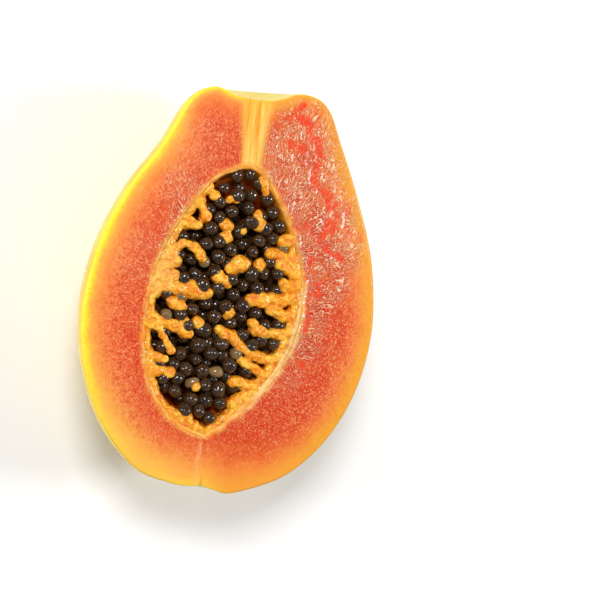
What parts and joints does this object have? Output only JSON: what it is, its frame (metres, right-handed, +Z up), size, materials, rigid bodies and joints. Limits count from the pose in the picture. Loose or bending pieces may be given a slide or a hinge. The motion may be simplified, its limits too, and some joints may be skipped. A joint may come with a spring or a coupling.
{
  "type": "halved papaya",
  "caption": "Ripe papaya cut in half lengthwise, lying on its skin with its seed-filled cavity facing up.",
  "frame": {"origin": "middle of the small flat spot on the skin that the half rests on", "axes": "+Z up, out of the cut face; +Y along the fruit, towards its stem end; +X to the right, seen from above with the stem end away"},
  "size_m": [0.1147, 0.1502, 0.0524],
  "materials": {
    "papaya_flesh": "moist red-orange flesh with yellow pulp, under a thin smooth yellow skin",
    "papaya_seed": "glossy, wet, dark brown to black"
  },
  "bodies": {
    "root": {"papaya_half": "papaya_flesh", "seeds": "papaya_seed"}
  },
  "joints": []
}
